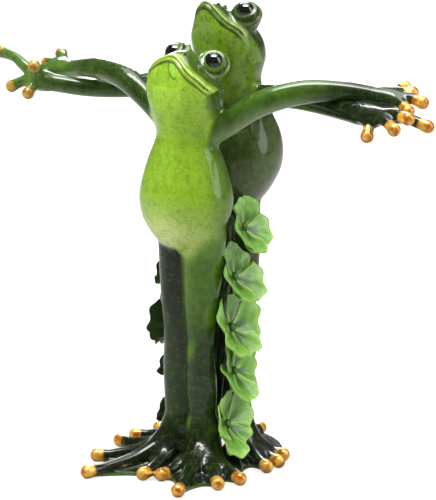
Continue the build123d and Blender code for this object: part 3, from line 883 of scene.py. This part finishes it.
for name, frog in (("front", frontFrog), ("rear", rearFrog)):
    clay, points, quads = modelFrog(frog)
    normals = sample(clay, points)[1]
    masks = {"gold": goldTips(frog, points), "paint": paintSkin(frog, skinLooks[name], points, normals)}
    skin = lacquered(name + "Skin", skinLooks[name])
    centre = points[quads].mean(1)
    x, y, z = centre.T
    isArm = (np.abs(x) > 19.3) & (z > frog["neck"] - 17.5) & ((z < frog["neck"] + 11) | (np.abs(x) > 30))
    isFoot = z < 20
    isHead = (z > frog["neck"] + 1.2 * np.maximum(np.abs(x) - 12, 0)) & ~isArm
    isBody = ~(isArm | isFoot | isHead)
    body = pieceFrom(name + "Body", points, quads[isBody], normals, masks, skin)
    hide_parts(name + "_body")
    head = pieceFrom(name + "Head", points, quads[isHead], normals, masks, skin)
    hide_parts(name + "_head")
    for side, word in ((1, "left"), (-1, "right")):
        arm = pieceFrom(name + word.title() + "Arm", points, quads[isArm & (x * side > 0)], normals, masks, skin)
        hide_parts(name + "_" + word + "_arm")
        foot = pieceFrom(name + word.title() + "Foot", points, quads[isFoot & (x * side > 0)], normals, masks, skin)
        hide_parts(name + "_" + word + "_foot")
    print(name, "frog modelled,", len(points), "points")


# eyes: turned glass beads, a shallow flat at the back

eyeBead = {"radius": headShape["bead"], "seat": 1.6, "rounds": 48, "rows": 26, "black": (10, 11, 9)}


def glassBlack(look):
    m = bpy.data.materials.new("blackGlassBead")
    m.use_nodes = True
    tree = m.node_tree
    shader = tree.nodes["Principled BSDF"]
    place = addNode(tree, "ShaderNodeTexCoord").outputs["Object"]
    cloud = addNode(tree, "ShaderNodeTexNoise", Scale=500.0, Detail=2.0)
    link(tree, place, cloud.inputs["Vector"])
    link(tree, mixColour(tree, cloud.outputs["Fac"], tint(*look["black"]), tint(22, 24, 18)), shader.inputs["Base Color"])
    link(tree, remapped(tree, cloud.outputs["Fac"], 0.3, 0.7, 0.05, 0.12), shader.inputs["Roughness"])
    shader.inputs["Coat Weight"].default_value = 1
    shader.inputs["Coat IOR"].default_value = 1.5
    shader.inputs["Coat Roughness"].default_value = 0.02
    return m


def makeBead(name, centre, look, s, material):
    axis = Vector(look)
    turn = axis.to_track_quat("Z", "Y").to_matrix()
    last = math.acos(-s["seat"] / s["radius"])
    rows = [(math.sin(last * i / s["rows"]) * s["radius"], math.cos(last * i / s["rows"]) * s["radius"])
            for i in range(1, s["rows"] + 1)]
    points = [Vector((0, 0, s["radius"]))]
    for r, h in rows:
        points += [Vector((r * math.cos(2 * math.pi * k / s["rounds"]), r * math.sin(2 * math.pi * k / s["rounds"]), h))
                   for k in range(s["rounds"])]
    faces = [(0, 1 + k, 1 + (k + 1) % s["rounds"]) for k in range(s["rounds"])]
    for i in range(s["rows"] - 1):
        for k in range(s["rounds"]):
            a = 1 + i * s["rounds"] + k
            b = 1 + i * s["rounds"] + (k + 1) % s["rounds"]
            faces.append((a, a + s["rounds"], b + s["rounds"], b))
    faces.append(tuple(1 + (s["rows"] - 1) * s["rounds"] + k for k in reversed(range(s["rounds"]))))
    mesh = bpy.data.meshes.new(name)
    mesh.from_pydata([(Vector(centre) + turn @ p) * mm for p in points], [], faces)
    for face in mesh.polygons:
        face.use_smooth = len(face.vertices) < 5
    return standPiece(name, mesh, material)


beadGlass = glassBlack(eyeBead)
for name, frog in (("front", frontFrog), ("rear", rearFrog)):
    axes = headAxes(frog["head"])
    for side, word in ((1, "left"), (-1, "right")):
        lid, look = lidSpots(frog["head"], side)
        spot = np.array(frog["head"]["hinge"]) + (lid + look * headShape["beadOut"]) @ axes
        bead = makeBead(name + word.title() + "Eye", spot, look @ axes, eyeBead, beadGlass)
        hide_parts(name + "_" + word + "_eye")
print("eyes set")


# blossoms: five ruffled petals with a domed heart on a short stalk

blossom = {
    "out": 15.6, "lean": 20, "yaw": -2, "petals": 5, "reach": 15.6, "spread": 0.88, "thick": 1.1,
    "heart": 1.2, "stalk": (1.2, 2.4), "cup": 0.036, "ruffle": 1.5, "overlap": 1.1,
    "rim": (166, 218, 98), "face": (118, 180, 56), "throat": (62, 96, 38),
    "places": [((14, 108.5), 46, 0.96), ((5, 87.5), 40, 0.98), ((2.5, 64.5), 0, 1.06), ((5, 43.5), 55, 0.96), ((-1.5, 20), 25, 1)],
}
# the right string is painted in darker copies of the same colours: painted shade on the side away from the light
shadedBlossom = dict(
    blossom, out=16, rim=(84, 122, 46), face=(40, 60, 26), throat=(18, 26, 12),
    places=[((15, 108.5), 10, 0.75), ((8, 87.5), 40, 0.68), ((6, 62), 20, 0.9), ((9, 43.5), 55, 0.66), ((4, 21), 25, 0.55)])


def petalSurface(s, across, along, phase):
    # across -1..1 from edge to edge, along 0..1 from heart to rim
    notch = 1 - 0.05 * math.exp(-(across / 0.2) ** 2) + 0.09 * math.sin(phase * 2.3 + 1) + 0.03 * math.sin(across * 10 + phase)
    length = s["reach"] * notch * (1 - 0.3 * abs(across) ** 3)
    angle = across * s["spread"] * (0.62 + 0.38 * along)
    out = 1.2 + (length - 1.2) * along
    wave = s["ruffle"] * along ** 2 * (math.sin(across * 4 + phase) * 0.7 + math.sin(across * 9 - phase) * 0.25)
    height = s["cup"] * out * out * (1.25 - out / 26) + wave + s["overlap"] * across * along + 1.3 * along * math.sin(phase * 3.1)
    return Vector((out * math.cos(angle), out * math.sin(angle), height))


def makeBlossom(name, side, place, spin, size, s, material):
    points, faces, rims = [], [], []
    nu, nv = 18, 14
    for petal in range(s["petals"]):
        turn = Matrix.Rotation(2 * math.pi * petal / s["petals"], 3, "Z")
        first = len(points)
        grid = [[petalSurface(s, 2 * i / nu - 1, j / nv, petal * 1.7 + spin) for j in range(nv + 1)] for i in range(nu + 1)]
        for layer in (1, -1):
            for i in range(nu + 1):
                for j in range(nv + 1):
                    du = grid[min(i + 1, nu)][j] - grid[max(i - 1, 0)][j]
                    dv = grid[i][min(j + 1, nv)] - grid[i][max(j - 1, 0)]
                    n = dv.cross(du).normalized()
                    n = n if n.z > 0 else -n
                    edge = max(abs(2 * i / nu - 1), j / nv)
                    half = s["thick"] / 2 * (1 - 0.55 * edge ** 6)
                    points.append(turn @ (grid[i][j] + n * half * layer))
                    rims.append(edge ** 3 if layer > 0 else 0.6)
        block = (nu + 1) * (nv + 1)
        def at(layer, i, j):
            return first + layer * block + i * (nv + 1) + j
        for i in range(nu):
            for j in range(nv):
                faces.append((at(0, i, j), at(0, i, j + 1), at(0, i + 1, j + 1), at(0, i + 1, j))[::-1])
                faces.append((at(1, i, j), at(1, i, j + 1), at(1, i + 1, j + 1), at(1, i + 1, j)))
        border = [(i, 0) for i in range(nu)] + [(nu, j) for j in range(nv)]
        border += [(i, nv) for i in range(nu, 0, -1)] + [(0, j) for j in range(nv, 0, -1)]
        for k, (i, j) in enumerate(border):
            p, q = border[(k + 1) % len(border)]
            faces.append((at(0, i, j), at(1, i, j), at(1, p, q), at(0, p, q))[::-1])
    rounds = 20
    profile = [(0.4, s["heart"] + 1.0), (1.3, s["heart"] + 0.7), (2.2, s["heart"] - 0.4), (s["heart"], 1.0), (2.0, -0.6),
               (s["stalk"][0], -1.2), (s["stalk"][0], -s["stalk"][1])]
    first = len(points)
    for r, h in profile:
        for k in range(rounds):
            a = 2 * math.pi * k / rounds
            bead = r * (1 + 0.1 * math.sin(5 * a)) if h > 0 else r
            points.append(Vector((bead * math.cos(a), bead * math.sin(a), h)))
            rims.append(0)
    for i in range(len(profile) - 1):
        for k in range(rounds):
            a, b = first + i * rounds + k, first + i * rounds + (k + 1) % rounds
            faces.append((a, a + rounds, b + rounds, b))
    faces.append(tuple(first + k for k in range(rounds)))
    faces.append(tuple(first + (len(profile) - 1) * rounds + k for k in reversed(range(rounds))))
    lean, yaw = math.radians(s["lean"]), math.radians(s["yaw"])
    up = Vector((side * math.cos(lean) * math.cos(yaw), -math.cos(lean) * math.sin(yaw), math.sin(lean)))
    third = up.cross(Vector((0, 1, 0))).normalized()
    right = third.cross(up)
    stand = Matrix((right, third, up)).transposed() @ Matrix.Rotation(math.radians(side * spin), 3, "Z")
    origin = Vector((side * s["out"], place[0], place[1]))
    mesh = bpy.data.meshes.new(name)
    mesh.from_pydata([(origin + stand @ p * size) * mm for p in points], [], faces)
    mesh.shade_smooth()
    layer = mesh.attributes.new("rim", "FLOAT", "POINT")
    layer.data.foreach_set("value", rims)
    return standPiece(name, mesh, material)


def petalPaint(name, s):
    m = bpy.data.materials.new(name)
    m.use_nodes = True
    tree = m.node_tree
    shader = tree.nodes["Principled BSDF"]
    place = addNode(tree, "ShaderNodeTexCoord").outputs["Object"]
    mottle = tree.nodes.new("ShaderNodeGroup")
    mottle.node_tree = mottleGroup
    link(tree, place, mottle.inputs["Vector"])
    rim = layerOf(tree, "rim", "Fac")
    # darker towards the heart: painted shade in the cup; paler towards the rims
    colour = mixColour(tree, remapped(tree, rim, 0.0, 0.24), tint(*s["throat"]), tint(*s["face"]))
    colour = mixColour(tree, remapped(tree, rim, 0.3, 0.95), colour, tint(*s["rim"]))
    colour = mixColour(tree, sums(tree, "MULTIPLY", mottle.outputs["Stains"], 0.35), colour, tint(*s["throat"]))
    link(tree, colour, shader.inputs["Base Color"])
    link(tree, remapped(tree, mottle.outputs["Stains"], 0.0, 1.0, 0.28, 0.45), shader.inputs["Roughness"])
    shader.inputs["Coat Weight"].default_value = 0.5
    shader.inputs["Coat Roughness"].default_value = 0.15
    bump = addNode(tree, "ShaderNodeBump", Strength=0.25, Distance=0.0005)
    link(tree, mottle.outputs["Height"], bump.inputs["Height"])
    link(tree, bump.outputs["Normal"], shader.inputs["Normal"])
    return m


for side, word, look in ((1, "left", blossom), (-1, "right", shadedBlossom)):
    petalGreen = petalPaint(word + "PetalGreen", look)
    for number, (place, spin, size) in enumerate(look["places"], 1):
        flower = makeBlossom(word + "Flower" + str(number), side, place, spin, size, look, petalGreen)
        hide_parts(word + "_flower_" + str(number))
print("blossoms set")


# CAD nodes that stay: stems in dark lacquer, dowels in ground steel

stemLook = {"deep": (22, 32, 14), "bright": (62, 84, 36)}
dowelLook = {"steel": (150, 150, 148), "scratch": (96, 96, 95)}


def plainPaint(name, deep, bright, scale, metal, rough):
    m = bpy.data.materials.new(name)
    m.use_nodes = True
    tree = m.node_tree
    shader = tree.nodes["Principled BSDF"]
    place = addNode(tree, "ShaderNodeTexCoord").outputs["Object"]
    grain = addNode(tree, "ShaderNodeTexNoise", Scale=scale, Detail=4.0)
    link(tree, place, grain.inputs["Vector"])
    link(tree, mixColour(tree, remapped(tree, grain.outputs["Fac"], 0.35, 0.65), tint(*deep), tint(*bright)), shader.inputs["Base Color"])
    link(tree, remapped(tree, grain.outputs["Fac"], 0.3, 0.7, *rough), shader.inputs["Roughness"])
    shader.inputs["Metallic"].default_value = metal
    bump = addNode(tree, "ShaderNodeBump", Strength=0.25, Distance=0.0004)
    link(tree, grain.outputs["Fac"], bump.inputs["Height"])
    link(tree, bump.outputs["Normal"], shader.inputs["Normal"])
    return m


stemPaint = plainPaint("stemGreen", stemLook["deep"], stemLook["bright"], 260.0, 0.0, (0.22, 0.4))
steel = plainPaint("groundSteel", dowelLook["scratch"], dowelLook["steel"], 900.0, 1.0, (0.25, 0.45))
for node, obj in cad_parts.items():
    if node.endswith("_stem"):
        obj.data.materials.clear()
        obj.data.materials.append(stemPaint)
    if node.endswith("_dowel"):
        obj.data.materials.clear()
        obj.data.materials.append(steel)
print("CAD nodes painted")
